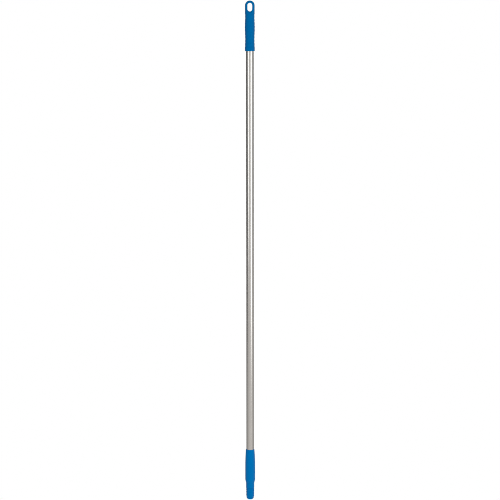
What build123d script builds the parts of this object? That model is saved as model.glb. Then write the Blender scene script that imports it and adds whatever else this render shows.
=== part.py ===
"""Straight deck pole for screw-on heads, such as a boat hook or a deck brush.

A drawn aluminium tube carries a moulded hand grip with a hanging eye at its top and a moulded connector
with a coarse external thread at its foot. +Z runs up the pole. The origin is on the pole's axis, in the
plane where the connector's plain neck meets its stop cone: a screwed-on head stops there. The eye's hole
runs along Y. All sizes are in millimetres.
"""
from build123d import *
import math
import os

# ---------------------------------------------------------------- driving dimensions
overall_length = 1449.0
spigot_length = 49.0  # what a head hides: neck, thread and pilot, all below the origin
tube_diameter = 22.0
tube_wall = 1.2
tube_length = 1350.0
tube_foot = 12.0  # height of the tube's lower end
fit_gap = 0.05  # radial room between pieces that slide into each other

# hand grip
grip_length = 141.8
grip_blind_wall = 36.5  # from the blind end of the bore up to the top of the grip
flange_radius = 13.9
flange_height = 9.8
flange_edge = 1.3
swell_mean_radius = 13.45
swell_amplitude = 0.42  # rise of the palm swell and fall of the waists about the mean
swell_span = 66.0  # from waist to waist
swell_height = 65.3  # middle of the palm swell above the grip's mouth
rib_pitch = 9.7
rib_count = 9
rib_crest = 0.2  # crest above the mean hold
rib_groove = 0.3  # groove below the mean hold
rib_top_gap = 3.5  # from the highest groove up to the head
shoulder_edge = 0.8

# hanging eye
head_radius = 13.6
eye_hole_width = 13.4
eye_hole_length = 23.9
eye_top_wall = 6.6
eye_thickness = 15.0
eye_scoop_radius = 30.0
eye_scoop_drop = 4.5  # the flats begin this far under the middle of the dome
eye_outer_round = 2.6
eye_hole_round = 2.0

# stop cone, shared by connector and collar
cone_foot_radius = 12.1
cone_top_radius = 14.1
cone_height = 8.2
cone_split = 3.0  # height where the connector's share ends and the collar's begins

# connector
neck_radius = 11.9
neck_length = 15.0
neck_edge = 0.4
thread_pitch = 5.0
thread_root_radius = 10.9
thread_crest_top = 11.8
thread_crest_foot = 11.5
thread_root_width = 3.6
thread_crest_width = 2.0
thread_length = 27.0
thread_relief = 1.0  # plain root left under the neck
thread_lead_in = 2.0
pilot_radius = 10.3
tip_chamfer = 3.0
tip_edge = 0.6
plug_length = 84.0
plug_lead_in = 0.8
core_radius = 6.0
core_floor = 12.0  # solid end left at the tip under the hollow core

# collar
collar_length = 97.5
collar_belly_radius = 14.3
collar_belly_foot = 12.0  # above the collar's foot
collar_belly_top = 47.0
collar_mouth_radius = 12.4
collar_cone_edge = 1.2
collar_mouth_edge = 0.6

# sealing rings
ring_grip_section = 0.75  # radius of the round section
ring_grip_height = 7.0  # above the grip's mouth
ring_collar_section = 0.45
ring_collar_depth = 12.0  # below the collar's mouth
ring_plug_section = 0.64
ring_plug_heights = (9.0, 15.0)  # above the tube's foot
groove_width_factor = 3.0  # groove width over section radius

# retaining pin
pin_radius = 2.0
pin_wall = 0.7
pin_slot = 0.9
pin_length = 21.6
pin_height = 56.0
pin_edge = 0.35

# end plug of the tube
bung_flange = 1.5
bung_depth = 14.0
bung_radius = 9.3
bung_lead_in = 0.6
bung_wall = 1.6
barb_radius = 9.72
barb_count = 3
barb_first = 2.5  # below the tube's end
barb_pitch = 3.6
barb_height = 1.8

# ---------------------------------------------------------------- worked-out sizes
tube_radius = tube_diameter / 2
tube_bore_radius = tube_radius - tube_wall
tube_top = tube_foot + tube_length
sleeve_bore_radius = tube_radius + fit_gap  # bore of what slides over the tube
plug_radius = tube_bore_radius - fit_gap
grip_top = overall_length - spigot_length
grip_mouth = grip_top - grip_length
head_foot = grip_top - grip_blind_wall
dome_height = grip_top - head_radius
eye_height = grip_top - eye_top_wall - eye_hole_length / 2
tip = -spigot_length
cone_split_radius = cone_foot_radius + (cone_top_radius - cone_foot_radius) * cone_split / cone_height
collar_top = cone_split + collar_length
level_tolerance = 0.01


def turned(outline):
    """Solid of revolution about the pole's axis; outline points are (radius, height)."""
    return revolve(Plane.XZ * make_face(outline), axis=Axis.Z)


def turned_polygon(*points):
    """Solid of revolution with straight flanks only."""
    return turned(Polyline(*points, close=True))


def band(inner, outer, low, high):
    """Plain ring between two radii and two heights."""
    return turned_polygon((inner, low), (outer, low), (outer, high), (inner, high))


def rims(solid, height, radius):
    """Circular edges of a solid at one height and of one radius."""
    circles = solid.edges().filter_by(GeomType.CIRCLE)
    level = circles.filter_by_position(Axis.Z, height - level_tolerance, height + level_tolerance)
    return level.filter_by(lambda edge: abs(edge.radius - radius) < level_tolerance)


def ring_at(height, inner_radius, section):
    """Rubber ring of round section, seated on an inner radius."""
    return Pos(0, 0, height) * Torus(inner_radius + section, section)


def groove_in_bore(height, section):
    """What is cut out of a sleeve's bore to take a ring that seals on the tube."""
    return Pos(0, 0, height) * Cylinder(sleeve_bore_radius + 2 * section + fit_gap, groove_width_factor * section)


def pin_hole():
    """Cross hole along X that the tube and the connector share."""
    return Pos(0, 0, pin_height) * Rot(0, 90, 0) * Cylinder(pin_radius + fit_gap, 2 * tube_diameter)


# ---------------------------------------------------------------- pole tube
def make_pole_tube():
    """Drawn tube with square ends, cross-drilled near its foot."""
    return band(tube_bore_radius, tube_radius, tube_foot, tube_top) - pin_hole()


# ---------------------------------------------------------------- hand grip
def swell(height):
    """Mean radius of the hold: a palm swell between two waists."""
    turn = 2 * math.pi * (height - grip_mouth - swell_height) / swell_span
    return swell_mean_radius + swell_amplitude * math.cos(turn)


def make_grip_hold():
    """Round, ribbed length of the grip from its mouth to its head, still solid."""
    flange_top = grip_mouth + flange_height
    top_groove = head_foot - rib_top_gap
    heights = [top_groove - rib_pitch * k for k in range(rib_count, -1, -1)]
    grooves = [(swell(z) - rib_groove, z) for z in heights]
    ribs = []
    for low, high in zip(grooves, grooves[1:]):
        middle = (low[1] + high[1]) / 2
        ribs.append(ThreePointArc(low, (swell(middle) + rib_crest, middle), high))
    flange = [(0, head_foot), (0, grip_mouth), (flange_radius, grip_mouth), (flange_radius, flange_top)]
    below = Polyline(*flange, grooves[0])
    above = Polyline(grooves[-1], (head_radius, head_foot), (0, head_foot))
    hold = turned([*below.edges(), *ribs, *above.edges()])
    flange_rims = rims(hold, grip_mouth, flange_radius) + rims(hold, flange_top, flange_radius)
    return fillet(flange_rims, flange_edge)


def make_grip_head():
    """Domed head, scooped flat on both sides."""
    shank = Pos(0, 0, (head_foot + dome_height) / 2) * Cylinder(head_radius, dome_height - head_foot)
    dome = Pos(0, 0, dome_height) * Sphere(head_radius)
    flat = eye_thickness / 2
    flat_foot = dome_height - eye_scoop_drop
    outside = head_radius + 1
    above = grip_top + 1
    scoop_rise = math.sqrt(eye_scoop_radius**2 - (eye_scoop_radius + flat - outside) ** 2)
    half_rise = scoop_rise / 2
    half_way = flat + eye_scoop_radius - math.sqrt(eye_scoop_radius**2 - half_rise**2)
    run_out = ThreePointArc((outside, flat_foot - scoop_rise), (half_way, flat_foot - half_rise), (flat, flat_foot))
    sides = Polyline((flat, flat_foot), (flat, above), (outside, above), (outside, flat_foot - scoop_rise))
    scoop = extrude(Plane.YZ * make_face([*sides.edges(), run_out]), amount=2 * head_radius, both=True)
    head = shank + dome - scoop - mirror(scoop, about=Plane.XZ)
    scooped = head.edges().filter_by(lambda edge: abs((edge @ 0.5).Y) > 1 and (edge @ 0.5).Z > head_foot + 0.1)
    return fillet(scooped, eye_outer_round)


def make_hand_grip():
    """Grip with its rounded eye, blind bore and the seal groove inside its mouth."""
    head = make_grip_head()
    oblong = SlotOverall(eye_hole_length, eye_hole_width, rotation=90)
    eye = Pos(0, 0, eye_height) * extrude(Plane.XZ * oblong, amount=2 * head_radius, both=True)
    pierced = head - eye
    pierced = fillet(new_edges(head, eye, combined=pierced), eye_hole_round)
    grip = make_grip_hold() + pierced
    grip = fillet(rims(grip, head_foot, head_radius), shoulder_edge)
    bore = band(0, sleeve_bore_radius, grip_mouth, head_foot)
    return grip - bore - groove_in_bore(grip_mouth + ring_grip_height, ring_grip_section)


# ---------------------------------------------------------------- connector
def make_thread(foot, top):
    """Right-hand thread ridge; its crest tapers towards the tip and starts in a lead-in cone."""
    run_out = foot - thread_pitch
    helix = Pos(0, 0, run_out) * Helix(thread_pitch, top - run_out + thread_pitch, thread_root_radius)
    half_root = thread_root_width / 2
    half_crest = thread_crest_width / 2
    buried = thread_root_radius - thread_lead_in / 4
    crest = thread_crest_top + 0.1
    flanks = Polyline(
        (buried, -half_root),
        (thread_root_radius, -half_root),
        (crest, -half_crest),
        (crest, half_crest),
        (thread_root_radius, half_root),
        (buried, half_root),
        close=True,
    )
    ridge = sweep(Pos(0, 0, run_out) * Plane.XZ * make_face(flanks), path=helix, is_frenet=True)
    lead_in = (thread_crest_foot, foot + thread_lead_in)
    envelope = turned_polygon((0, foot), (thread_root_radius, foot), lead_in, (thread_crest_top, top), (0, top))
    return ridge & envelope


def make_threaded_connector():
    """Moulded connector: plug, stop cone, neck, thread, pilot and chamfered tip, with a hollow core."""
    plug_top = tube_foot + plug_length
    thread_top = -neck_length
    thread_foot = thread_top - thread_length
    tip_radius = pilot_radius - tip_chamfer
    body = turned_polygon(
        (0, tip),
        (tip_radius, tip),
        (pilot_radius, tip + tip_chamfer),
        (pilot_radius, thread_foot),
        (thread_root_radius, thread_foot),
        (thread_root_radius, thread_top),
        (neck_radius, thread_top),
        (neck_radius, 0),
        (cone_foot_radius, 0),
        (cone_split_radius, cone_split),
        (neck_radius, cone_split),
        (neck_radius, tube_foot),
        (plug_radius, tube_foot),
        (plug_radius, plug_top),
        (0, plug_top),
    )
    body = fillet(rims(body, thread_top, neck_radius), neck_edge)
    body = fillet(rims(body, tip, tip_radius) + rims(body, tip + tip_chamfer, pilot_radius), tip_edge)
    body = chamfer(rims(body, plug_top, plug_radius), plug_lead_in)
    connector = body + make_thread(thread_foot, thread_top - thread_relief)
    connector -= band(0, core_radius, tip + core_floor, plug_top)
    half_groove = groove_width_factor * ring_plug_section / 2
    groove_floor = plug_radius - 2 * ring_plug_section
    for height in ring_plug_heights:
        middle = tube_foot + height
        connector -= band(groove_floor, tube_radius, middle - half_groove, middle + half_groove)
    return connector - pin_hole()


# ---------------------------------------------------------------- collar
def make_connector_collar():
    """Barrel sleeve that carries on the stop cone and covers the pinned joint."""
    belly_foot = (collar_belly_radius, cone_split + collar_belly_foot)
    belly_top = (collar_belly_radius, cone_split + collar_belly_top)
    cone_top = (cone_top_radius, cone_height)
    mouth = (collar_mouth_radius, collar_top)
    foot_arc = TangentArc(belly_foot, cone_top, tangent=(0, -1))
    mouth_arc = TangentArc(belly_top, mouth, tangent=(0, 1))
    socket_radius = neck_radius + fit_gap
    inside = Polyline(
        mouth,
        (sleeve_bore_radius, collar_top),
        (sleeve_bore_radius, tube_foot),
        (socket_radius, tube_foot),
        (socket_radius, cone_split),
        (cone_split_radius, cone_split),
        cone_top,
    )
    collar = turned([foot_arc, Line(belly_foot, belly_top), mouth_arc, *inside.edges()])
    collar = fillet(rims(collar, cone_height, cone_top_radius), collar_cone_edge)
    collar = fillet(rims(collar, collar_top, collar_mouth_radius), collar_mouth_edge)
    return collar - groove_in_bore(collar_top - ring_collar_depth, ring_collar_section)


# ---------------------------------------------------------------- pieces hidden inside
def make_tube_end_plug():
    """Cup-shaped bung with push-in barbs, closing the tube under the grip."""
    points = [
        (0, tube_top + bung_flange),
        (tube_radius, tube_top + bung_flange),
        (tube_radius, tube_top),
        (bung_radius, tube_top),
    ]
    for k in range(barb_count):
        barb = tube_top - barb_first - barb_pitch * k
        points += [(bung_radius, barb), (barb_radius, barb), (bung_radius, barb - barb_height)]
    foot = tube_top - bung_depth
    inner = bung_radius - bung_wall
    points += [(bung_radius - bung_lead_in, foot), (inner, foot), (inner, tube_top), (0, tube_top)]
    return turned_polygon(*points)


def make_connector_seal_rings():
    """Rings on the plug that seal in the tube's bore."""
    inner = plug_radius - 2 * ring_plug_section + fit_gap / 2
    return Compound(children=[ring_at(tube_foot + height, inner, ring_plug_section) for height in ring_plug_heights])


def make_retaining_pin():
    """Rolled spring pin with a slot along its upper side and chamfered ends."""
    pin = Cylinder(pin_radius, pin_length)
    pin = chamfer(pin.edges().filter_by(GeomType.CIRCLE), pin_edge)
    pin -= Cylinder(pin_radius - pin_wall, pin_length)
    pin -= Pos(-pin_radius, 0, 0) * Box(2 * pin_radius, pin_slot, pin_length)
    return Pos(0, 0, pin_height) * Rot(0, 90, 0) * pin


nodes = {
    "pole_tube": make_pole_tube(),
    "hand_grip": make_hand_grip(),
    "tube_end_plug": make_tube_end_plug(),
    "grip_seal_ring": ring_at(grip_mouth + ring_grip_height, sleeve_bore_radius, ring_grip_section),
    "threaded_connector": make_threaded_connector(),
    "connector_collar": make_connector_collar(),
    "connector_seal_rings": make_connector_seal_rings(),
    "collar_seal_ring": ring_at(collar_top - ring_collar_depth, sleeve_bore_radius, ring_collar_section),
    "retaining_pin": make_retaining_pin(),
}

os.makedirs("parts", exist_ok=True)
for name, solid in nodes.items():
    export_step(solid, f"parts/{name}.step")
    box = solid.bounding_box()
    print(f"{name:22s} {len(solid.solids())} solid(s), valid {solid.is_valid}, {solid.volume:9.1f} mm3,", end=" ")
    print(f"radius up to {box.max.X:.2f}, z {box.min.Z:.2f} to {box.max.Z:.2f}")
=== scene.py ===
# %% [markdown]
# # A deck pole: grip, tube, collar and threaded spigot
#
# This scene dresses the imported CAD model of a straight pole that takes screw-on heads. The CAD model is
# the frame: it fixes every size and place. Blender adds what an engineer's model leaves out, which is
# smooth dense meshes, soft moulded edges and the finish of each material. A studio and a camera follow.
#
# Four pieces show: a drawn aluminium tube, a ribbed plastic grip with a hanging eye, a barrel collar and
# a threaded connector. Five more sit inside. The four are built again here as clean meshes, because the
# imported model's tube has only a few flat sides. The hidden five keep their CAD shape and get a finish.

# %% Load the frame
import bmesh
import bpy
import math
from mathutils import Matrix, Vector


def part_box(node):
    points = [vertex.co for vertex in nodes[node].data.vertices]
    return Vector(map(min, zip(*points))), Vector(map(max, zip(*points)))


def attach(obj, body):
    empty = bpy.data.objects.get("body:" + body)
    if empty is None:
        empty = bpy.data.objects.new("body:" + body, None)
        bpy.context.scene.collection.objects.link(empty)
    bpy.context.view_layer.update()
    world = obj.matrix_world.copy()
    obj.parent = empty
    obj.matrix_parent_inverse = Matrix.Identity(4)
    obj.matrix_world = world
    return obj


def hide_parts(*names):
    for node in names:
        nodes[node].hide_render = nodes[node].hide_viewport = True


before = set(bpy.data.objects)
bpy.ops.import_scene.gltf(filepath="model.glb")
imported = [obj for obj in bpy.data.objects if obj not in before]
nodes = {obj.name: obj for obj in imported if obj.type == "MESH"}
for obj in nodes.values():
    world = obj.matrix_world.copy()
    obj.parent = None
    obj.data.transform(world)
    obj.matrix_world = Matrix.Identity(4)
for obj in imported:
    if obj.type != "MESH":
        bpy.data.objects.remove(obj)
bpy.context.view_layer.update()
print("nodes:", ", ".join(sorted(nodes)))

# %% [markdown]
# ## Sizes
#
# Every place in this file comes from the frame. The connector's neck goes on inside the collar, so its
# radius is read from a millimetre inside the collar's foot. Fine sizes that a box can't tell, such as a
# fillet, are named in millimetres where they are first used.

# %% Radii and heights that the frame gives
MM = 0.001
INSIDE = 1


def height_span(node):
    """Lowest and highest point of a CAD node along the pole, in millimetres."""
    low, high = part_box(node)
    return low.z / MM, high.z / MM


def widest_radius(node, low=-math.inf, high=math.inf):
    """Largest distance of a CAD node from the pole's axis, between two heights, in millimetres."""
    points = [v.co / MM for v in nodes[node].data.vertices]
    return max(math.hypot(p.x, p.y) for p in points if low <= p.z <= high)


tube_foot, tube_top = height_span("pole_tube")
grip_mouth, grip_top = height_span("hand_grip")
collar_foot, collar_top = height_span("connector_collar")
spigot_tip, plug_top = height_span("threaded_connector")
pin_height = sum(height_span("retaining_pin")) / 2
tube_radius = widest_radius("pole_tube")
belly_radius = widest_radius("connector_collar")
stop_radius = widest_radius("threaded_connector")
neck_radius = widest_radius("threaded_connector", collar_foot + INSIDE, tube_foot)
print(f"tube {2 * tube_radius:.1f} mm thick, {tube_top - tube_foot:.0f} mm long")
print(f"grip {grip_top - grip_mouth:.0f} mm, collar {collar_top - collar_foot:.1f} mm long")

# %% [markdown]
# ## Colours and nodes
#
# A colour picked from a chart or a screen is an sRGB value, but the renderer adds up light, so it wants
# linear values. One function turns a hex colour to linear, and every colour here goes through it.
#
# A material is a tree of nodes. Adding a node, setting it and wiring it are the same three steps every
# time, so one small function does them, and the materials below read as a list of what each node is for.

# %% Hex to linear, and adding a node
def linear(code):
    """Linear colour from an sRGB hex value such as #0072b8."""
    channels = [int(code[i : i + 2], 16) / 255 for i in (1, 3, 5)]
    return (*[c / 12.92 if c <= 0.04045 else ((c + 0.055) / 1.055) ** 2.4 for c in channels], 1.0)


def add_node(tree, kind, own=(), values=(), links=()):
    """Adds a node; own sets its properties, values its input sockets, links wires its input sockets."""
    node = tree.nodes.new(kind)
    for name, value in dict(own).items():
        setattr(node, name, value)
    for name, value in dict(values).items():
        node.inputs[name].default_value = value
    for name, source in dict(links).items():
        tree.links.new(source, node.inputs[name])
    return node


def new_material(name):
    """An empty material with its output, and the object's own coordinates in metres."""
    material = bpy.data.materials.new(name)
    material.use_nodes = True
    tree = material.node_tree
    tree.nodes.clear()
    place = add_node(tree, "ShaderNodeTexCoord").outputs["Object"]
    return material, tree, place


def per_mm(size):
    """Noise scale, in features per metre, for a feature of that size in millimetres."""
    return 1 / (size * MM)


print("mid grey #808080 is", round(linear("#808080")[0], 3), "in linear light")

# %% [markdown]
# ## Drawn and anodised aluminium
#
# The tube is pulled through a steel die, then etched and anodised. Drawing leaves fine straight lines
# along the tube, and the etch blurs them, so a lamp shows as a soft upright streak and not as a mirror
# image. The clear oxide layer makes the metal a touch greyer than polished aluminium.
#
# A brushed look can come from anisotropy, from a stretched bump, or from both. A tube this thin already
# draws every reflection out along itself, so strong anisotropy would only smear the streaks. It stays low
# here, and a noise stretched along the tube draws the lines: as a bump three thousandths of a millimetre
# deep, and as half of a slight change in shade. Real die lines are about 0.1 mm apart and would be lost
# from this far, so they are drawn 0.5 mm apart. The other half of the shade is a slow noise, because the
# bath etches in patches. Short arcs round the tube, 3 mm tall and wider than that, are a little duller,
# where clips and hands have rubbed it.

# %% Tube finish
DIE_LINE = 0.5
DIE_LINE_LENGTH = 160
LINE_DEPTH = 0.003
LINE_SHADE = 0.5
ETCH_PATCH = 45
ETCH_SHADES = ("#c8c7c4", "#dfdedd")
RUB_MARK = 3
RUB_SPREAD = 0.35
RUB_FROM, RUB_TO = 0.45, 0.8
CLEAN_ROUGHNESS, RUBBED_ROUGHNESS = 0.24, 0.28


def drawn_aluminium():
    """Etched and anodised metal with lines along Z."""
    material, tree, place = new_material("anodised_aluminium_drawn")
    stretch = (1, 1, DIE_LINE / DIE_LINE_LENGTH)
    along = add_node(tree, "ShaderNodeVectorMath", {"operation": "MULTIPLY"}, {1: stretch}, {0: place})
    lines = add_node(
        tree,
        "ShaderNodeTexNoise",
        values={"Scale": per_mm(DIE_LINE), "Detail": 2.0},
        links={"Vector": along.outputs[0]},
    )
    patches = add_node(
        tree,
        "ShaderNodeTexNoise",
        values={"Scale": per_mm(ETCH_PATCH), "Detail": 3.0},
        links={"Vector": place},
    )
    shade = add_node(
        tree,
        "ShaderNodeMix",
        values={"Factor": LINE_SHADE},
        links={"A": patches.outputs["Fac"], "B": lines.outputs["Fac"]},
    )
    colour = add_node(
        tree,
        "ShaderNodeMix",
        {"data_type": "RGBA"},
        {"A": linear(ETCH_SHADES[0]), "B": linear(ETCH_SHADES[1])},
        {"Factor": shade.outputs["Result"]},
    )
    flat = (RUB_SPREAD, RUB_SPREAD, 1.0)
    across = add_node(tree, "ShaderNodeVectorMath", {"operation": "MULTIPLY"}, {1: flat}, {0: place})
    rubs = add_node(
        tree,
        "ShaderNodeTexNoise",
        values={"Scale": per_mm(RUB_MARK), "Detail": 4.0, "Roughness": 0.7},
        links={"Vector": across.outputs[0]},
    )
    roughness = add_node(
        tree,
        "ShaderNodeMapRange",
        values={
            "From Min": RUB_FROM,
            "From Max": RUB_TO,
            "To Min": CLEAN_ROUGHNESS,
            "To Max": RUBBED_ROUGHNESS,
        },
        links={"Value": rubs.outputs["Fac"]},
    )
    bump = add_node(
        tree,
        "ShaderNodeBump",
        values={"Strength": 1.0, "Distance": LINE_DEPTH * MM},
        links={"Height": lines.outputs["Fac"]},
    )
    round_the_tube = add_node(tree, "ShaderNodeTangent", {"direction_type": "RADIAL", "axis": "Z"})
    metal = add_node(
        tree,
        "ShaderNodeBsdfPrincipled",
        values={"Metallic": 1.0, "Anisotropic": 0.1},
        links={
            "Base Color": colour.outputs["Result"],
            "Roughness": roughness.outputs["Result"],
            "Normal": bump.outputs["Normal"],
            "Tangent": round_the_tube.outputs["Tangent"],
        },
    )
    add_node(tree, "ShaderNodeOutputMaterial", links={"Surface": metal.outputs["BSDF"]})
    return material


tube_finish = drawn_aluminium()
print(f"made {tube_finish.name}: lines {DIE_LINE} mm apart, patches of {ETCH_PATCH} mm")

# %% [markdown]
# ## Moulded polypropylene
#
# Grip, collar and connector are injection moulded in blue polypropylene. The steel mould is
# spark-eroded, which leaves a skin of tiny rounded pits. The eye sees that as a satin surface whose
# highlight is wide and soft. Polypropylene itself is plain: an index of refraction of 1.49, no metal, and
# pigment that is even but for a very faint cloudiness where the melt flowed.
#
# Real pits are under 0.1 mm wide and couldn't be seen, so a noise bump draws them 0.25 mm wide. The
# valley beside each rib and other hollows get painted shade, a slightly darker blue, crests and edges a
# painted lighter blue, and crests that hands touch are a little smoother. That could be painted by hand,
# but Blender's Pointiness already tells crest from groove, so one function serves all blue pieces, with
# its own shades and gloss for each.
#
# A clear varnish would mirror this pale room in white and wash the blue out. Pitted plastic has no such
# clear layer: light that meets it squarely dips into the coloured skin and comes back blue, and only at a
# grazing angle does it glance off white. The shader's Specular Tint does the same.

# %% Plastic finish
PIT = 0.25
PIT_DEPTH = 0.03
PIT_STRENGTH = 0.6
FLOW_CLOUD = 18
CLOUD_GAIN, CLOUD_SHIFT = 0.25, -0.12
GROOVE, CREST = 0.46, 0.54
PP_IOR = 1.49
SKIN_TINT = "#0090ff"


def moulded_polypropylene(name, shade, groove_painted_shade, smooth, rough):
    """Blue plastic: shade and smooth are for its crests, rough and a darker colour of painted shade for its
    grooves.
    """
    material, tree, place = new_material(name)
    cloud = add_node(
        tree,
        "ShaderNodeTexNoise",
        values={"Scale": per_mm(FLOW_CLOUD), "Detail": 3.0},
        links={"Vector": place},
    )
    edge = add_node(tree, "ShaderNodeNewGeometry").outputs["Pointiness"]
    height = add_node(
        tree,
        "ShaderNodeMapRange",
        values={"From Min": GROOVE, "From Max": CREST},
        links={"Value": edge},
    )
    amount = add_node(
        tree,
        "ShaderNodeMath",
        {"operation": "MULTIPLY_ADD"},
        {1: CLOUD_GAIN, 2: CLOUD_SHIFT},
        {0: cloud.outputs["Fac"]},
    )
    lift = add_node(
        tree,
        "ShaderNodeMath",
        {"operation": "ADD"},
        links={0: height.outputs["Result"], 1: amount.outputs[0]},
    )
    # Grooves and hollows get painted shade, a darker blue, and crests and edges a painted lighter blue; the
    # flow cloud adds the plastic's own faint tone.
    colour = add_node(
        tree,
        "ShaderNodeMix",
        {"data_type": "RGBA", "clamp_factor": True},
        {"A": linear(groove_painted_shade), "B": linear(shade)},
        {"Factor": lift.outputs[0]},
    )
    gloss = add_node(
        tree,
        "ShaderNodeMapRange",
        values={"To Min": rough, "To Max": smooth},
        links={"Value": lift.outputs[0]},
    )
    pits = add_node(
        tree, "ShaderNodeTexNoise", values={"Scale": per_mm(PIT), "Detail": 2.0}, links={"Vector": place}
    )
    bump = add_node(
        tree,
        "ShaderNodeBump",
        values={"Strength": PIT_STRENGTH, "Distance": PIT_DEPTH * MM},
        links={"Height": pits.outputs["Fac"]},
    )
    plastic = add_node(
        tree,
        "ShaderNodeBsdfPrincipled",
        values={"IOR": PP_IOR, "Metallic": 0.0, "Specular Tint": linear(SKIN_TINT)},
        links={
            "Base Color": colour.outputs["Result"],
            "Roughness": gloss.outputs["Result"],
            "Normal": bump.outputs["Normal"],
        },
    )
    add_node(tree, "ShaderNodeOutputMaterial", links={"Surface": plastic.outputs["BSDF"]})
    return material


# In each, the second colour is for crests and edges, and the third is the painted shade for grooves and
# hollows.
grip_finish = moulded_polypropylene("polypropylene_grip", "#0074ba", "#0068a8", 0.42, 0.6)
connector_finish = moulded_polypropylene("polypropylene_connector", "#0084d3", "#0078c4", 0.38, 0.55)
print(f"made {grip_finish.name} and {connector_finish.name}: pits {PIT} mm wide")

# %% [markdown]
# ## Finishes of the hidden pieces
#
# The closed pole hides them, but they show when the model is taken apart, so one grey for all would look
# unfinished. A short material each is enough, because none of them is seen from near.
#
# The bung is natural polyethylene, milky and waxy, so it lets a little light into its surface. The
# sealing rings are moulded nitrile rubber: nearly black, dull, and dusty. The pin is rolled from
# stainless spring steel, and keeps the faint lines of the rolls, drawn 0.2 mm apart so that they show.

# %% Bung
WAX_CLOUD = 6
WAX_DEPTH = 2


def polyethylene():
    """Milky plastic: light sinks in a little, and the melt leaves faint clouds."""
    material, tree, place = new_material("polyethylene_moulded")
    cloud = add_node(
        tree,
        "ShaderNodeTexNoise",
        values={"Scale": per_mm(WAX_CLOUD), "Detail": 3.0},
        links={"Vector": place},
    )
    colour = add_node(
        tree,
        "ShaderNodeMix",
        {"data_type": "RGBA"},
        {"A": linear("#dcdcd6"), "B": linear("#ecece8")},
        {"Factor": cloud.outputs["Fac"]},
    )
    wax = add_node(
        tree,
        "ShaderNodeBsdfPrincipled",
        values={
            "Roughness": 0.4,
            "IOR": 1.51,
            "Subsurface Weight": 0.2,
            "Subsurface Scale": WAX_DEPTH * MM,
        },
        links={"Base Color": colour.outputs["Result"]},
    )
    add_node(tree, "ShaderNodeOutputMaterial", links={"Surface": wax.outputs["BSDF"]})
    return material


wax_finish = polyethylene()
print("made", wax_finish.name)

# %% Sealing rings
DUST_SPECK = 0.8


def nitrile_rubber():
    """Dull black rubber, greyer where dust clings."""
    material, tree, place = new_material("nitrile_rubber_moulded")
    dust = add_node(
        tree,
        "ShaderNodeTexNoise",
        values={"Scale": per_mm(DUST_SPECK), "Detail": 4.0},
        links={"Vector": place},
    )
    colour = add_node(
        tree,
        "ShaderNodeMix",
        {"data_type": "RGBA"},
        {"A": linear("#161616"), "B": linear("#2b2a29")},
        {"Factor": dust.outputs["Fac"]},
    )
    rubber = add_node(
        tree,
        "ShaderNodeBsdfPrincipled",
        values={"Roughness": 0.75, "IOR": 1.52},
        links={"Base Color": colour.outputs["Result"]},
    )
    add_node(tree, "ShaderNodeOutputMaterial", links={"Surface": rubber.outputs["BSDF"]})
    return material


rubber_finish = nitrile_rubber()
print("made", rubber_finish.name)

# %% Pin
ROLL_LINE = 0.2
ROLL_LINE_LENGTH = 4
BRIGHT_ROUGHNESS, LINE_ROUGHNESS = 0.25, 0.45


def spring_steel():
    """Grey steel with lines along the pin, which lies along X."""
    material, tree, place = new_material("stainless_spring_steel_rolled")
    stretch = (ROLL_LINE / ROLL_LINE_LENGTH, 1, 1)
    along = add_node(tree, "ShaderNodeVectorMath", {"operation": "MULTIPLY"}, {1: stretch}, {0: place})
    lines = add_node(
        tree,
        "ShaderNodeTexNoise",
        values={"Scale": per_mm(ROLL_LINE), "Detail": 3.0},
        links={"Vector": along.outputs[0]},
    )
    roughness = add_node(
        tree,
        "ShaderNodeMapRange",
        values={"To Min": BRIGHT_ROUGHNESS, "To Max": LINE_ROUGHNESS},
        links={"Value": lines.outputs["Fac"]},
    )
    colour = add_node(
        tree,
        "ShaderNodeMix",
        {"data_type": "RGBA"},
        {"A": linear("#b9b6b1"), "B": linear("#c6c4c0")},
        {"Factor": lines.outputs["Fac"]},
    )
    steel = add_node(
        tree,
        "ShaderNodeBsdfPrincipled",
        values={"Metallic": 1.0},
        links={"Base Color": colour.outputs["Result"], "Roughness": roughness.outputs["Result"]},
    )
    add_node(tree, "ShaderNodeOutputMaterial", links={"Surface": steel.outputs["BSDF"]})
    return material


pin_finish = spring_steel()
print("made", pin_finish.name)

# %% Give the hidden nodes their finishes
hidden_finishes = {
    "tube_end_plug": wax_finish,
    "grip_seal_ring": rubber_finish,
    "connector_seal_rings": rubber_finish,
    "collar_seal_ring": rubber_finish,
    "retaining_pin": pin_finish,
}
for name, finish in hidden_finishes.items():
    nodes[name].data.materials.clear()
    nodes[name].data.materials.append(finish)
print("finished", len(hidden_finishes), "hidden nodes")

# %% [markdown]
# ## A lathe in code
#
# Tube, grip, collar and connector are turned shapes. Blender's Screw modifier or Spin tool could turn
# them, but both need a profile mesh first, and points on the axis have to be merged afterwards. A short
# function that writes the rings itself gives even quads, a single point where a profile meets the axis,
# and full control over what each ring does. A real mould or die leaves no knife-sharp corner, so a second
# function rounds a profile's corners into small arcs before it is turned. Those arcs catch the light as
# thin lines.
#
# Pointiness, which the plastic's shader uses, is worked out per vertex and spread over the faces between.
# On a long face it would carry an edge's painted shade far down the piece, so a third function adds rows to
# a profile's long runs. The tube's metal doesn't use it, and keeps its long faces.

# %% Rounded profiles and even rows
ARC_STEPS = 5
ROW_STEP = 1.5


def rounded(corners):
    """Profile points (radius, height) from corners (radius, height, rounding), all in millimetres."""
    points = []
    for i, (r, z, blend) in enumerate(corners):
        if blend == 0:
            points.append((r, z))
            continue
        here = Vector((r, z))
        before = (Vector(corners[i - 1][:2]) - here).normalized()
        after = (Vector(corners[(i + 1) % len(corners)][:2]) - here).normalized()
        half = before.angle(after) / 2
        centre = here + (before + after).normalized() * blend / math.sin(half)
        spoke = here + before * blend / math.tan(half) - centre
        turn = spoke.angle_signed(here + after * blend / math.tan(half) - centre)
        step = Matrix.Rotation(-turn / ARC_STEPS, 2)
        for _ in range(ARC_STEPS + 1):
            points.append(tuple(centre + spoke))
            spoke = step @ spoke
    return points


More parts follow.
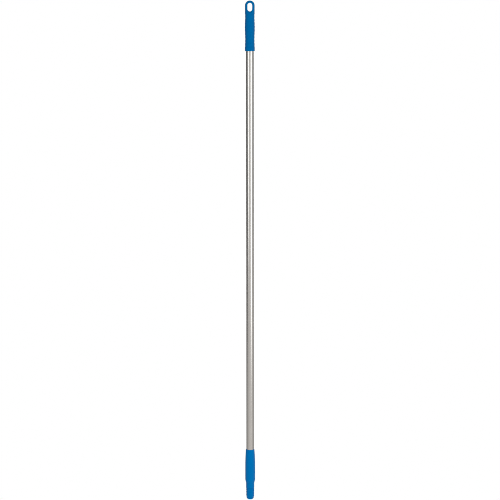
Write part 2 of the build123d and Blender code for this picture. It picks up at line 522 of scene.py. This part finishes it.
def even_rows(points):
    """Adds points on a profile's long runs, so that what is worked out per vertex stays near its edge."""
    rows = [points[0]]
    for (r0, z0), (r1, z1) in zip(points, points[1:]):
        count = math.ceil(math.hypot(r1 - r0, z1 - z0) / ROW_STEP)
        rows += [(r0 + (r1 - r0) * k / count, z0 + (z1 - z0) * k / count) for k in range(1, count + 1)]
    return rows


print(f"corners become arcs of {ARC_STEPS} steps, and rows are at most {ROW_STEP} mm apart")

# %% Turning a profile
SEGMENTS = 128
ON_AXIS = 1e-6


def turn_ring(bm, r, z):
    """A ring of vertices round the pole's axis, or one vertex on the axis."""
    if r < ON_AXIS:
        return [bm.verts.new((0, 0, z * MM))]
    turns = [2 * math.pi * k / SEGMENTS for k in range(SEGMENTS)]
    return [bm.verts.new((r * math.cos(a) * MM, r * math.sin(a) * MM, z * MM)) for a in turns]


def skin(bm, low, high, closed=True):
    """Faces between two rows of vertices; a row of one vertex makes triangles."""
    count = max(len(low), len(high))
    for k in range(count if closed else count - 1):
        after = (k + 1) % count
        corners = [low[k % len(low)], low[after % len(low)], high[after % len(high)], high[k % len(high)]]
        bm.faces.new(list(dict.fromkeys(corners)))


def turn_profile(bm, points, closed=False):
    """Turns a profile about the pole's axis and returns its rings."""
    rings = [turn_ring(bm, r, z) for r, z in points]
    for low, high in zip(rings, rings[1:]):
        skin(bm, low, high)
    if closed:
        skin(bm, rings[-1], rings[0])
    return rings


print("a turned ring has", SEGMENTS, "vertices")

# %% Finishing a piece
SHARP_ANGLE = math.radians(35)
WELD = 1e-4 * MM


def finish_piece(bm, name, finish, node):
    """Welds and smooths a bmesh, makes it a piece that stands for a CAD node, and reports on it."""
    bmesh.ops.remove_doubles(bm, verts=bm.verts, dist=WELD)
    bmesh.ops.dissolve_degenerate(bm, edges=bm.edges, dist=WELD)
    bmesh.ops.recalc_face_normals(bm, faces=bm.faces)
    for edge in bm.edges:
        edge.smooth = edge.calc_face_angle(0) < SHARP_ANGLE
    for face in bm.faces:
        face.smooth = True
    open_edges = sum(not edge.is_manifold for edge in bm.edges)
    mesh = bpy.data.meshes.new(name)
    bm.to_mesh(mesh)
    bm.free()
    mesh.materials.append(finish)
    piece = bpy.data.objects.new(name, mesh)
    bpy.context.scene.collection.objects.link(piece)
    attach(piece, "root")
    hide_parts(node)
    print(f"{name}: {len(mesh.polygons)} faces, {open_edges} open edges")
    return piece


print("edges sharper than", round(math.degrees(SHARP_ANGLE)), "degrees stay sharp in the shading")

# %% [markdown]
# ## The pole tube
#
# The real tube is sawn to length, and its ends are brushed to take the burr off. It is the longest piece
# by far, so its outline has to be truly straight and its sides truly round. A turned profile with 128
# sides does that with few faces, because nothing changes along its length. A pin crosses it near its
# foot. That hole is cut with a Boolean, between two extra rings that keep the cut's odd faces away from
# the long smooth ones.

# %% Build the tube
TUBE_WALL = 1.2
DEBURR = 0.2
PIN_HOLE_RADIUS = 2.05
DRILL_SIDES = 32
CUT_ZONE = 5


def build_tube():
    """The tube's wall, turned as one closed ring: up its outside and down its bore."""
    bore = tube_radius - TUBE_WALL
    heights = [tube_foot, pin_height - CUT_ZONE, pin_height + CUT_ZONE, tube_top]
    blends = [DEBURR, 0, 0, DEBURR]
    outside = [(tube_radius, z, blend) for z, blend in zip(heights, blends)]
    inside = [(bore, z, blend) for z, blend in zip(reversed(heights), blends)]
    bm = bmesh.new()
    turn_profile(bm, rounded(outside + inside), closed=True)
    return finish_piece(bm, "tube_drawn", tube_finish, "pole_tube")


def cut_pin_hole(tube):
    """Cuts the cross hole along X with a Boolean, applies it and deletes the cutter."""
    bm = bmesh.new()
    turned = Matrix.Translation((0, 0, pin_height * MM)) @ Matrix.Rotation(math.pi / 2, 4, "Y")
    size = PIN_HOLE_RADIUS * MM
    through = 4 * tube_radius * MM
    bmesh.ops.create_cone(
        bm, cap_ends=True, segments=DRILL_SIDES, radius1=size, radius2=size, depth=through, matrix=turned
    )
    mesh = bpy.data.meshes.new("pin_drill")
    bm.to_mesh(mesh)
    bm.free()
    drill = bpy.data.objects.new("pin_drill", mesh)
    bpy.context.scene.collection.objects.link(drill)
    cut = tube.modifiers.new("pin_hole", "BOOLEAN")
    cut.object = drill
    cut.solver = "EXACT"
    evaluated = tube.evaluated_get(bpy.context.evaluated_depsgraph_get())
    tube.data = bpy.data.meshes.new_from_object(evaluated)
    tube.modifiers.clear()
    bpy.data.objects.remove(drill)
    print(f"{tube.name}: {len(tube.data.polygons)} faces with the pin hole")


cut_pin_hole(build_tube())

# %% [markdown]
# ## The collar
#
# A barrel-shaped sleeve covers the pinned joint. It starts with a cone that carries on the connector's
# stop cone, curves over to a straight belly, and then draws in to a thin mouth on a very long arc. Both
# curves are tangent to the belly, so no line shows where they begin. Scaling a ring by hand along a curve
# could come near that, but the arc's radius can be worked out: one that leaves the vertical at one end
# and drops by a known depth over a known height has only one radius.
#
# The real collar is a hollow moulding that slides over the tube, so its stepped bore is modelled too.

# %% Build the collar
CONE_TOP_RADIUS = 14.1
CONE_TOP = 8.2
BELLY_FOOT = 15.0
BELLY_TOP = 50.0
MOUTH_RADIUS = 12.4
BORE_GAP = 0.05
RING_DEPTH = 12.0
RING_SECTION = 0.45
STOP_ROUND = 0.15
CONE_ROUND = 0.8
MOUTH_ROUND = 0.6
BORE_ROUND = 0.3
SHOULDER_ROUND = 0.2
SAMPLES = 24


def tangent_arc(z_start, z_end, drop):
    """Heights and drops along an arc that starts upright at z_start and has fallen in by drop at z_end."""
    reach = z_end - z_start
    radius = (reach**2 + drop**2) / (2 * drop)
    heights = [reach * k / SAMPLES for k in range(SAMPLES + 1)]
    return [(z_start + h, radius - math.sqrt(radius**2 - h**2)) for h in heights]


def seal_groove(bore, middle, section):
    """Corners of a ring groove in a bore, downwards: as deep as the ring, and half as wide again."""
    top, foot = middle + 1.5 * section, middle - 1.5 * section
    floor = bore + 2 * section + BORE_GAP
    return [(bore, top, 0), (floor, top, 0), (floor, foot, 0), (bore, foot, 0)]


def arc_corners(z_start, z_end, end_radius, end_round):
    """Corners along a tangent arc from the collar's belly to another radius, rounded at its end."""
    arc = tangent_arc(z_start, z_end, belly_radius - end_radius)
    *along, end = [(belly_radius - drop, z, 0) for z, drop in arc]
    return [*along, (*end[:2], end_round)]


def build_collar():
    """The collar, turned as one closed ring: up its outside and down its bore."""
    bore = tube_radius + BORE_GAP
    socket = neck_radius + BORE_GAP
    corners = [
        (stop_radius, collar_foot, STOP_ROUND),
        *reversed(arc_corners(BELLY_FOOT, CONE_TOP, CONE_TOP_RADIUS, CONE_ROUND)),
        *arc_corners(BELLY_TOP, collar_top, MOUTH_RADIUS, MOUTH_ROUND),
        (bore, collar_top, BORE_ROUND),
        *seal_groove(bore, collar_top - RING_DEPTH, RING_SECTION),
        (bore, tube_foot, SHOULDER_ROUND),
        (socket, tube_foot, SHOULDER_ROUND),
        (socket, collar_foot, BORE_ROUND),
    ]
    bm = bmesh.new()
    turn_profile(bm, even_rows(rounded(corners)), closed=True)
    return finish_piece(bm, "collar_sleeve", connector_finish, "connector_collar")


build_collar()

# %% [markdown]
# ## The threaded connector
#
# Below the collar comes the piece that a head screws on to: a stop cone, a plain neck, a coarse thread and
# a short pilot with a chamfered tip. Above, hidden in the tube, it goes on as a hollow plug with two ring
# grooves. All but the thread is turned on the lathe above.
#
# A thread can be made with the Screw modifier, but its two ends then need to be cut and closed by hand. It
# can also be drawn on level rings by changing their radius, but then the crest wanders in steps. Here the
# rows of the mesh climb with the thread: each row is one line of the thread's profile, and where it comes
# round again it meets the row one pitch above. Rows that climb past either end are held at that end,
# where they fall together and are welded, so the strip closes on the plain rings below and above.

# %% The thread's profile and its ends
THREAD_PITCH = 5.0
THREAD_TOP = -16.0
THREAD_FOOT = -42.0
THREAD_ROOT = 10.9
CREST_TOP = 11.8
CREST_FOOT = 11.5
LEAD_IN = 2.0
HALF_ROOT = 1.8
HALF_CREST = 1.0
ROOT_ROW = 2.1
SOFT_CORNER = 0.15
SOFT_FLANK = 0.05


def thread_rows():
    """Offsets of the profile's rows from the middle of the crest, closer together at its corners."""
    side = [c + d for c in (HALF_CREST, HALF_ROOT) for d in (-SOFT_CORNER, 0, SOFT_CORNER)]
    side += [(HALF_CREST + HALF_ROOT) / 2, ROOT_ROW]
    return sorted([-THREAD_PITCH / 2, 0, *side, *[-s for s in side]])


def thread_radius(offset, z):
    """Radius at an offset from the crest's middle: root, flank or crest, cut off by the thread's ends."""
    climb = min(max((HALF_ROOT - abs(offset)) / (HALF_ROOT - HALF_CREST), 0), 1)
    soft = climb - SOFT_FLANK * math.sin(2 * math.pi * climb)
    up = (z - THREAD_FOOT - LEAD_IN) / (THREAD_TOP - THREAD_FOOT - LEAD_IN)
    crest = CREST_FOOT + (CREST_TOP - CREST_FOOT) * max(up, 0)
    lead_in = THREAD_ROOT + (CREST_FOOT - THREAD_ROOT) * (z - THREAD_FOOT) / LEAD_IN
    run_out = THREAD_ROOT + (THREAD_TOP - z)
    return min(THREAD_ROOT + soft * (crest - THREAD_ROOT), lead_in, run_out)


print("rows in the thread's profile:", len(thread_rows()))

# %% The thread's rows
climb_foot = THREAD_FOOT - 1.5 * THREAD_PITCH
climb_turns = math.ceil((THREAD_TOP - climb_foot) / THREAD_PITCH) + 2


def climb_thread(bm):
    """The thread as rows that rise one pitch a turn, right-handed."""
    offsets = thread_rows()
    rows = []
    for turn in range(climb_turns):
        for offset in offsets:
            row = []
            for k in range(SEGMENTS):
                z = climb_foot + THREAD_PITCH * (turn + k / SEGMENTS) + offset
                z = min(max(z, THREAD_FOOT), THREAD_TOP)
                angle = 2 * math.pi * k / SEGMENTS
                r = thread_radius(offset, z) * MM
                row.append(bm.verts.new((r * math.cos(angle), r * math.sin(angle), z * MM)))
            rows.append(row)
    for m in range(len(rows) - len(offsets) - 1):
        low = rows[m] + [rows[m + len(offsets)][0]]
        high = rows[m + 1] + [rows[m + 1 + len(offsets)][0]]
        skin(bm, low, high, closed=False)


print("the rows climb", climb_turns, "turns, and those past either end are held there")

# %% Build the connector
PILOT_RADIUS = 10.3
TIP_CHAMFER = 3.0
NECK_FOOT = -15.0
CONE_FOOT_RADIUS = 12.1
PLUG_RADIUS = 9.75
PLUG_RING_SECTION = 0.64
PLUG_RINGS = (9.0, 15.0)
CORE_RADIUS = 6.0
CORE_FLOOR = 12.0
TIP_ROUND = 0.6
STEP_ROUND = 0.15
NECK_STEP_ROUND = 0.3
NECK_EDGE_ROUND = 0.4
CONE_FOOT_ROUND = 0.1
PLUG_LEAD_ROUND = 0.8
CORE_EDGE_ROUND = 0.4
CORE_FLOOR_ROUND = 1.0


def plug_groove(middle):
    """Corners of a ring groove in the plug, listed upwards."""
    foot, top = middle - 1.5 * PLUG_RING_SECTION, middle + 1.5 * PLUG_RING_SECTION
    floor = PLUG_RADIUS - 2 * PLUG_RING_SECTION
    return [(PLUG_RADIUS, foot, 0), (floor, foot, 0), (floor, top, 0), (PLUG_RADIUS, top, 0)]


def build_connector():
    """The tip and pilot, the thread, and then all from the neck up, over the plug and down its core."""
    tip_radius = PILOT_RADIUS - TIP_CHAMFER
    below = [
        (0, spigot_tip, 0),
        (tip_radius, spigot_tip, TIP_ROUND),
        (PILOT_RADIUS, spigot_tip + TIP_CHAMFER, TIP_ROUND),
        (PILOT_RADIUS, THREAD_FOOT, STEP_ROUND),
        (THREAD_ROOT, THREAD_FOOT, 0),
    ]
    grooves = [corner for height in PLUG_RINGS for corner in plug_groove(tube_foot + height)]
    above = [
        (THREAD_ROOT, THREAD_TOP, 0),
        (THREAD_ROOT, NECK_FOOT, NECK_STEP_ROUND),
        (neck_radius, NECK_FOOT, NECK_EDGE_ROUND),
        (neck_radius, 0, 0),
        (CONE_FOOT_RADIUS, 0, CONE_FOOT_ROUND),
        (stop_radius, collar_foot, STOP_ROUND),
        (neck_radius, collar_foot, 0),
        (neck_radius, tube_foot, SHOULDER_ROUND),
        (PLUG_RADIUS, tube_foot, 0),
        *grooves,
        (PLUG_RADIUS, plug_top, PLUG_LEAD_ROUND),
        (CORE_RADIUS, plug_top, CORE_EDGE_ROUND),
        (CORE_RADIUS, spigot_tip + CORE_FLOOR, CORE_FLOOR_ROUND),
        (0, spigot_tip + CORE_FLOOR, 0),
    ]
    bm = bmesh.new()
    turn_profile(bm, even_rows(rounded(below)))
    climb_thread(bm)
    turn_profile(bm, even_rows(rounded(above)))
    return finish_piece(bm, "connector_moulding", connector_finish, "threaded_connector")


build_connector()

# %% [markdown]
# ## The grip's ribbed hold
#
# The hold swells under the palm between two waists, and shallow scalloped ribs run round it. Both are
# formulas: a cosine wave 66 mm long gives the swell, and a parabola in each 9.7 mm pitch gives a rib. A
# displacement texture could draw the ribs too, but its waves would have to be matched to the mesh rows.
# Here the rows are placed by the rib formula itself, with more of them near the valleys where the
# surface turns quickest.

# %% Outline of the hold
FLANGE_RADIUS = 13.9
FLANGE_HEIGHT = 9.8
HEAD_RADIUS = 13.6
HEAD_WALL = 36.5
SWELL_MEAN = 13.45
SWELL_DEPTH = 0.42
SWELL_SPAN = 66.0
SWELL_MIDDLE = 65.3
RIB_PITCH = 9.7
RIB_COUNT = 9
RIB_CREST = 0.2
RIB_VALLEY = 0.3
RIB_TOP_GAP = 3.5
RIB_STEPS = 14
head_foot = grip_top - HEAD_WALL


def crowded(share):
    """Moves evenly spaced shares from 0 to 1 towards both ends."""
    return 0.5 - 0.5 * math.cos(math.pi * share)


def swell(z):
    """Mean radius of the hold at a height: widest at the palm, narrowest at the waists."""
    return SWELL_MEAN + SWELL_DEPTH * math.cos(2 * math.pi * (z - grip_mouth - SWELL_MIDDLE) / SWELL_SPAN)


def rib_outline():
    """Points of the ribbed stretch, upwards, each rib a parabola between two valleys."""
    points = []
    first = head_foot - RIB_TOP_GAP - RIB_COUNT * RIB_PITCH
    for k in range(RIB_COUNT * RIB_STEPS + 1):
        rib, step = divmod(k, RIB_STEPS)
        phase = crowded(step / RIB_STEPS)
        z = first + RIB_PITCH * (rib + phase)
        bulge = 1 - (2 * phase - 1) ** 2
        points.append((swell(z) - RIB_VALLEY + (RIB_CREST + RIB_VALLEY) * bulge, z))
    return points


ribs = rib_outline()
print(RIB_COUNT, "ribs drawn with", len(ribs), "rows")

# %% [markdown]
# ## The hanging eye
#
# The head of the grip is a dome, scooped flat on two sides and pierced by an oblong hole. Cutting the hole
# with a Boolean and bevelling its rim would work, but the bevel pinches where the scoop curves away. The
# head is a surface over a flat plan instead: for each point of the front view, a formula gives how far the
# surface stands from the middle plane. Three shapes take part, the dome, the scoop and the rounded rim of
# the hole. A smooth minimum lets dome and scoop run into each other as a fillet does, and it fades out
# towards the foot of the head, where there is no scoop and the head has to be as round as the hold.
#
# The grid runs from the hole's edge to the head's outline, with points crowded at both ends, where the
# surface turns steeply. The lower part of the outline is the ring on top of the hold, so both meet point
# to point and weld.

# %% Surface of the head
EYE_HALF_WIDTH = 6.7
EYE_LENGTH = 23.9
EYE_TOP_WALL = 6.6
EYE_HALF_THICKNESS = 7.5
SCOOP_RADIUS = 30.0
SCOOP_DROP = 4.5
RIM_ROUND = 2.0
EDGE_BLEND = 2.4
LEAST_BLEND = 0.001
BLEND_RUN_OUT = 8.0
THINNEST = 0.01
dome_height = grip_top - HEAD_RADIUS
arc_high = grip_top - EYE_TOP_WALL - EYE_HALF_WIDTH
arc_low = arc_high - (EYE_LENGTH - 2 * EYE_HALF_WIDTH)


def smooth_min(a, b, blend):
    """The smaller of two numbers, eased over where they differ by less than blend."""
    gap = max(blend - abs(a - b), 0) / blend
    return min(a, b) - gap * gap * blend / 4


def half_thickness(x, z):
    """Distance of the head's surface from its middle plane."""
    above = max(z - dome_height, 0)
    dome = math.sqrt(max(HEAD_RADIUS**2 - x**2 - above**2, 0))
    below = max(dome_height - SCOOP_DROP - z, 0)
    scoop = EYE_HALF_THICKNESS + SCOOP_RADIUS - math.sqrt(SCOOP_RADIUS**2 - below**2)
    blend = EDGE_BLEND * min((z - head_foot) / BLEND_RUN_OUT + LEAST_BLEND, 1)
    return max(smooth_min(dome, scoop, blend), 0) if dome > THINNEST else 0.0


print(f"the head is {2 * half_thickness(0, dome_height):.1f} mm thick between its scoops")

# %% Loop round the eye
SIDE_STEPS = 14
TOP_STEPS = 40


def side_pair(side, share):
    """Points on the hole's straight edge and on the outline beside it, a share of the way up."""
    edge = arc_low + (arc_high - arc_low) * share
    outline = head_foot + (dome_height - head_foot) * share
    return (side * EYE_HALF_WIDTH, edge), (side * HEAD_RADIUS, outline)


def loop_of_head():
    """Pairs of points (on the hole's edge, on the head's outline) round the eye, from the lower right."""
    pairs = [side_pair(1, k / SIDE_STEPS) for k in range(SIDE_STEPS)]
    for k in range(TOP_STEPS):
        c, s = math.cos(math.pi * k / TOP_STEPS), math.sin(math.pi * k / TOP_STEPS)
        edge = (EYE_HALF_WIDTH * c, arc_high + EYE_HALF_WIDTH * s)
        pairs.append((edge, (HEAD_RADIUS * c, dome_height + HEAD_RADIUS * s)))
    pairs += [side_pair(-1, 1 - k / SIDE_STEPS) for k in range(SIDE_STEPS)]
    for k in range(SEGMENTS // 2):
        c, s = math.cos(2 * math.pi * k / SEGMENTS), math.sin(2 * math.pi * k / SEGMENTS)
        edge = (-EYE_HALF_WIDTH * c, arc_low - EYE_HALF_WIDTH * s)
        pairs.append((edge, (-HEAD_RADIUS * c, head_foot)))
    return pairs


print("points in the loop round the eye:", len(loop_of_head()))

# %% Faces of the head and wall of the eye
ACROSS_STEPS = 22
WALL_STEPS = 6


def face_of_head(bm, side):
    """One side of the head: rows from the hole's rim out to the outline; side is -1 for front, 1 for back."""
    rows = []
    for k in range(ACROSS_STEPS + 1):
        share = crowded(k / ACROSS_STEPS)
        row = []
        for (x0, z0), (x1, z1) in loop_of_head():
            x, z = x0 + (x1 - x0) * share, z0 + (z1 - z0) * share
            away = share * math.hypot(x1 - x0, z1 - z0)
            y = half_thickness(x, z)
            if away < RIM_ROUND:
                y -= RIM_ROUND - math.sqrt(RIM_ROUND**2 - (RIM_ROUND - away) ** 2)
            row.append(bm.verts.new((x * MM, side * y * MM, z * MM)))
        rows.append(row)
    for inner, outer in zip(rows, rows[1:]):
        skin(bm, inner, outer)
    return rows[0]


def wall_of_eye(bm, front, back):
    """The straight wall of the hole between its two rims."""
    rows = [front]
    for k in range(1, WALL_STEPS):
        rows.append([bm.verts.new(a.co.lerp(b.co, k / WALL_STEPS)) for a, b in zip(front, back)])
    rows.append(back)
    for near, far in zip(rows, rows[1:]):
        skin(bm, near, far)


print("rows from the eye out to the outline:", ACROSS_STEPS + 1)

# %% Build the grip
GRIP_RING_HEIGHT = 7.0
GRIP_RING_SECTION = 0.75
BLIND_END_ROUND = 0.5
MOUTH_EDGE_ROUND = 0.4
FLANGE_ROUND = 1.3
HEAD_STEP = 1.2
HEAD_STEP_ROUND = 0.6


def build_grip():
    """The hold, turned from its bore's blind end to the ring under the head, then the head on that ring."""
    bore = tube_radius + BORE_GAP
    flange_top = grip_mouth + FLANGE_HEIGHT
    corners = [
        (0, head_foot, 0),
        (bore, head_foot, BLIND_END_ROUND),
        *seal_groove(bore, grip_mouth + GRIP_RING_HEIGHT, GRIP_RING_SECTION),
        (bore, grip_mouth, MOUTH_EDGE_ROUND),
        (FLANGE_RADIUS, grip_mouth, FLANGE_ROUND),
        (FLANGE_RADIUS, flange_top, FLANGE_ROUND),
        *[(r, z, 0) for r, z in ribs],
        (HEAD_RADIUS, head_foot - HEAD_STEP, HEAD_STEP_ROUND),
        (HEAD_RADIUS, head_foot, 0),
    ]
    bm = bmesh.new()
    turn_profile(bm, even_rows(rounded(corners)))
    front = face_of_head(bm, -1)
    back = face_of_head(bm, 1)
    wall_of_eye(bm, front, back)
    return finish_piece(bm, "grip_moulding", grip_finish, "hand_grip")


build_grip()

# %% [markdown]
# ## Floor and room
#
# A pale floor runs under and behind the pole. In a studio the backdrop is lit apart from the object until
# it burns out to white, while a dimmer room keeps the object's own edges dark. Several lamps and a far
# wall could do that, but the Light Path node does it at once, on the floor and the world only: what the
# camera sees directly is white paper, and what the object reflects is grey felt.
#
# The felt isn't equally grey all round. Its level is a plain slope: a base level, plus the dot product of
# a direction with a slope vector. It is brightest on the camera's side, where the two main lamps are, and
# darkest behind the pole, which darkens the rims of the metal and makes them read as round. The felt is a
# touch warm, as lamplight is.

# %% Felt that is brighter on one side
WHITE_PAPER = "#ffffff"


def felt_level(tree, direction, level, slope):
    """Brightness of the felt: a base level plus the dot product of a direction with a slope."""
    side = add_node(tree, "ShaderNodeVectorMath", {"operation": "DOT_PRODUCT"}, {1: slope}, {0: direction})
    total = add_node(tree, "ShaderNodeMath", {"operation": "ADD"}, {1: level}, {0: side.outputs["Value"]})
    return total.outputs[0]


def white_to_the_camera(tree, kind, felt_colour, strength):
    """Mixes two shaders: white paper for what the camera looks at, felt for what lights and reflects."""
    seen = add_node(tree, kind, values={"Color": linear(WHITE_PAPER), "Strength": 1.0})
    felt = add_node(tree, kind, values={"Color": linear(felt_colour)}, links={"Strength": strength})
    path = add_node(tree, "ShaderNodeLightPath").outputs["Is Camera Ray"]
    mix = add_node(tree, "ShaderNodeMixShader", links={0: path, 1: felt.outputs[0], 2: seen.outputs[0]})
    return mix.outputs[0]


print("the camera sees", WHITE_PAPER, "where the pole sees grey felt")

# %% Floor
FLOOR_RADIUS = 8.0
FLOOR_SIDES = 64
FLOOR_LEVEL = 0.45
FLOOR_SLOPE = (0.05, -0.25, 0.0)
FLOOR_FELT = "#fffaf5"


def paper_floor():
    """Seamless paper, whose felt level follows the direction from the pole."""
    material, tree, place = new_material("seamless_paper")
    outward = add_node(tree, "ShaderNodeVectorMath", {"operation": "NORMALIZE"}, links={0: place})
    strength = felt_level(tree, outward.outputs[0], FLOOR_LEVEL, FLOOR_SLOPE)
    surface = white_to_the_camera(tree, "ShaderNodeEmission", FLOOR_FELT, strength)
    add_node(tree, "ShaderNodeOutputMaterial", links={"Surface": surface})
    return material


def stage_sheet(name, corners, finish):
    """One flat face that belongs to the studio and not to the pole."""
    mesh = bpy.data.meshes.new(name)
    bm = bmesh.new()
    bm.faces.new([bm.verts.new(corner) for corner in corners])
    bm.to_mesh(mesh)
    bm.free()
    mesh.materials.append(finish)
    sheet = bpy.data.objects.new(name, mesh)
    bpy.context.scene.collection.objects.link(sheet)
    return sheet


rim = [2 * math.pi * k / FLOOR_SIDES for k in range(FLOOR_SIDES)]
disc = [(FLOOR_RADIUS * math.cos(a), FLOOR_RADIUS * math.sin(a), spigot_tip * MM) for a in rim]
floor = stage_sheet("floor", disc, paper_floor())
print(f"{floor.name}: {FLOOR_RADIUS:.0f} m in radius, at the tip's height")

# %% Room
ROOM_LEVEL = 0.36
ROOM_SLOPE = (0.10, -0.3, 0.0)
ROOM_FELT = "#fffdf9"
world = bpy.data.worlds.new("grey_room")
bpy.context.scene.world = world
world.use_nodes = True
room = world.node_tree
room.nodes.clear()
towards = add_node(room, "ShaderNodeTexCoord").outputs["Generated"]
strength = felt_level(room, towards, ROOM_LEVEL, ROOM_SLOPE)
surface = white_to_the_camera(room, "ShaderNodeBackground", ROOM_FELT, strength)
add_node(room, "ShaderNodeOutputWorld", links={"Surface": surface})
print("room level towards the camera:", ROOM_LEVEL - ROOM_SLOPE[1], "and behind:", ROOM_LEVEL + ROOM_SLOPE[1])

# %% [markdown]
# ## Soft boxes
#
# A thin metal tube is a curved mirror: it shows each lamp as one upright streak, and the streak fades out
# where the mirrored line of sight passes under the lamp. So two tall soft boxes stand to the left and
# right of the camera, and the left one starts higher up, to make its streak end sooner. A third stands
# behind the pole, so that its back isn't lost in the dark when the pole is turned or seen from there.
#
# Point lamps would give hard glints, and area lights are what a soft box is. A lamp is easier to place by
# what it does than by numbers of watts, so the function takes the turn round the pole from the camera's
# side in degrees, the heights in metres, and the brightness of its cloth, and works out the rest.

# %% Soft boxes
BOX_DISTANCE = 2.5


def soft_box(name, turns, heights, radiance):
    """A tall area light that faces the pole, between two turns and two heights."""
    half_turn = math.radians(turns[1] - turns[0]) / 2
    light = bpy.data.lights.new(name, "AREA")
    light.shape = "RECTANGLE"
    light.size = 2 * BOX_DISTANCE * math.tan(half_turn)
    light.size_y = heights[1] - heights[0]
    light.energy = radiance * math.pi * light.size * light.size_y
    box = bpy.data.objects.new(name, light)
    angle = math.radians(sum(turns) / 2)
    box.location = (BOX_DISTANCE * math.sin(angle), -BOX_DISTANCE * math.cos(angle), sum(heights) / 2)
    facing = Vector((-box.location.x, -box.location.y, 0))
    box.rotation_euler = facing.to_track_quat("-Z", "Y").to_euler()
    box.visible_camera = False
    bpy.context.scene.collection.objects.link(box)
    return box


soft_boxes = [
    soft_box("soft_box_left", (-53, -29), (0.55, 2.2), 1.42),
    soft_box("soft_box_right", (27, 55), (0.0, 2.2), 1.55),
    soft_box("soft_box_back", (165, 195), (0.0, 2.2), 2.0),
]
for box in soft_boxes:
    print(f"{box.name}: {box.data.size:.2f} by {box.data.size_y:.2f} m, {box.data.energy:.1f} W")

# %% [markdown]
# ## A black card
#
# A bright tube looks flat unless something dark shows in it too. A card covered in black velvet stands
# far round to the left. The tube mirrors it as a dark line between the left streak and the rim, and that
# line does much to make the tube look round. The felt could be made darker on that side instead, but a
# slope is too gentle to draw a line. Velvet is matt and deep black with a faint nap, so the card gets a
# fine noise between two near-blacks and almost no gloss.

# %% Black card
CARD_TURNS = (-91, -76)
CARD_HEIGHTS = (-0.04, 1.0)
NAP = 2.0
VELVET_BLACKS = ("#040404", "#0a0a0a")


def black_velvet():
    """Matt black cloth with a faint nap."""
    material, tree, place = new_material("black_velvet")
    nap = add_node(tree, "ShaderNodeTexNoise", values={"Scale": per_mm(NAP)}, links={"Vector": place})
    colour = add_node(
        tree,
        "ShaderNodeMix",
        {"data_type": "RGBA"},
        {"A": linear(VELVET_BLACKS[0]), "B": linear(VELVET_BLACKS[1])},
        {"Factor": nap.outputs["Fac"]},
    )
    cloth = add_node(
        tree,
        "ShaderNodeBsdfPrincipled",
        values={"Roughness": 0.95, "Specular IOR Level": 0.1},
        links={"Base Color": colour.outputs["Result"]},
    )
    add_node(tree, "ShaderNodeOutputMaterial", links={"Surface": cloth.outputs["BSDF"]})
    return material


near, far = [(BOX_DISTANCE * math.sin(a), -BOX_DISTANCE * math.cos(a)) for a in map(math.radians, CARD_TURNS)]
low, high = CARD_HEIGHTS
card_corners = [(*near, low), (*far, low), (*far, high), (*near, high)]
card = stage_sheet("black_card", card_corners, black_velvet())
card.visible_camera = False
print(f"{card.name}: {math.dist(near, far):.2f} m wide, {high - low:.2f} m tall")

# %% [markdown]
# ## Camera and picture
#
# The camera stands 5 m away, level with the top of the pole, and looks down a little, so the eye is seen
# straight on and the collar from slightly above. A long lens from that far keeps the pole's sides almost
# parallel. The camera leans by a hair, as one on a tripod does, and that lean turns about its own line of
# sight, so that it doesn't also swing the aim. The Standard view keeps colours as they are set, which
# suits a product on white, and a narrow filter keeps the thin streaks on the metal crisp.

# %% Camera
CAMERA_DISTANCE = 5.0
CAMERA_PITCH = 8.094
CAMERA_ROLL = -0.045
CAMERA_LENS = 126.3
SENSOR_WIDTH = 36.0
CRISP_FILTER = 1.0
camera = bpy.data.objects.new("camera", bpy.data.cameras.new("camera"))
camera.data.lens = CAMERA_LENS
camera.data.sensor_width = SENSOR_WIDTH
camera.location = (0, -CAMERA_DISTANCE, grip_top * MM)
tilt = Matrix.Rotation(math.radians(90 - CAMERA_PITCH), 3, "X")
roll = Matrix.Rotation(math.radians(CAMERA_ROLL), 3, "Z")
camera.rotation_euler = (tilt @ roll).to_euler()
bpy.context.scene.collection.objects.link(camera)
bpy.context.scene.camera = camera
bpy.context.scene.view_settings.view_transform = "Standard"
bpy.context.scene.cycles.filter_width = CRISP_FILTER
print(f"camera {CAMERA_DISTANCE:.0f} m away, {CAMERA_LENS:.0f} mm lens, {CAMERA_PITCH:.1f} degrees down")
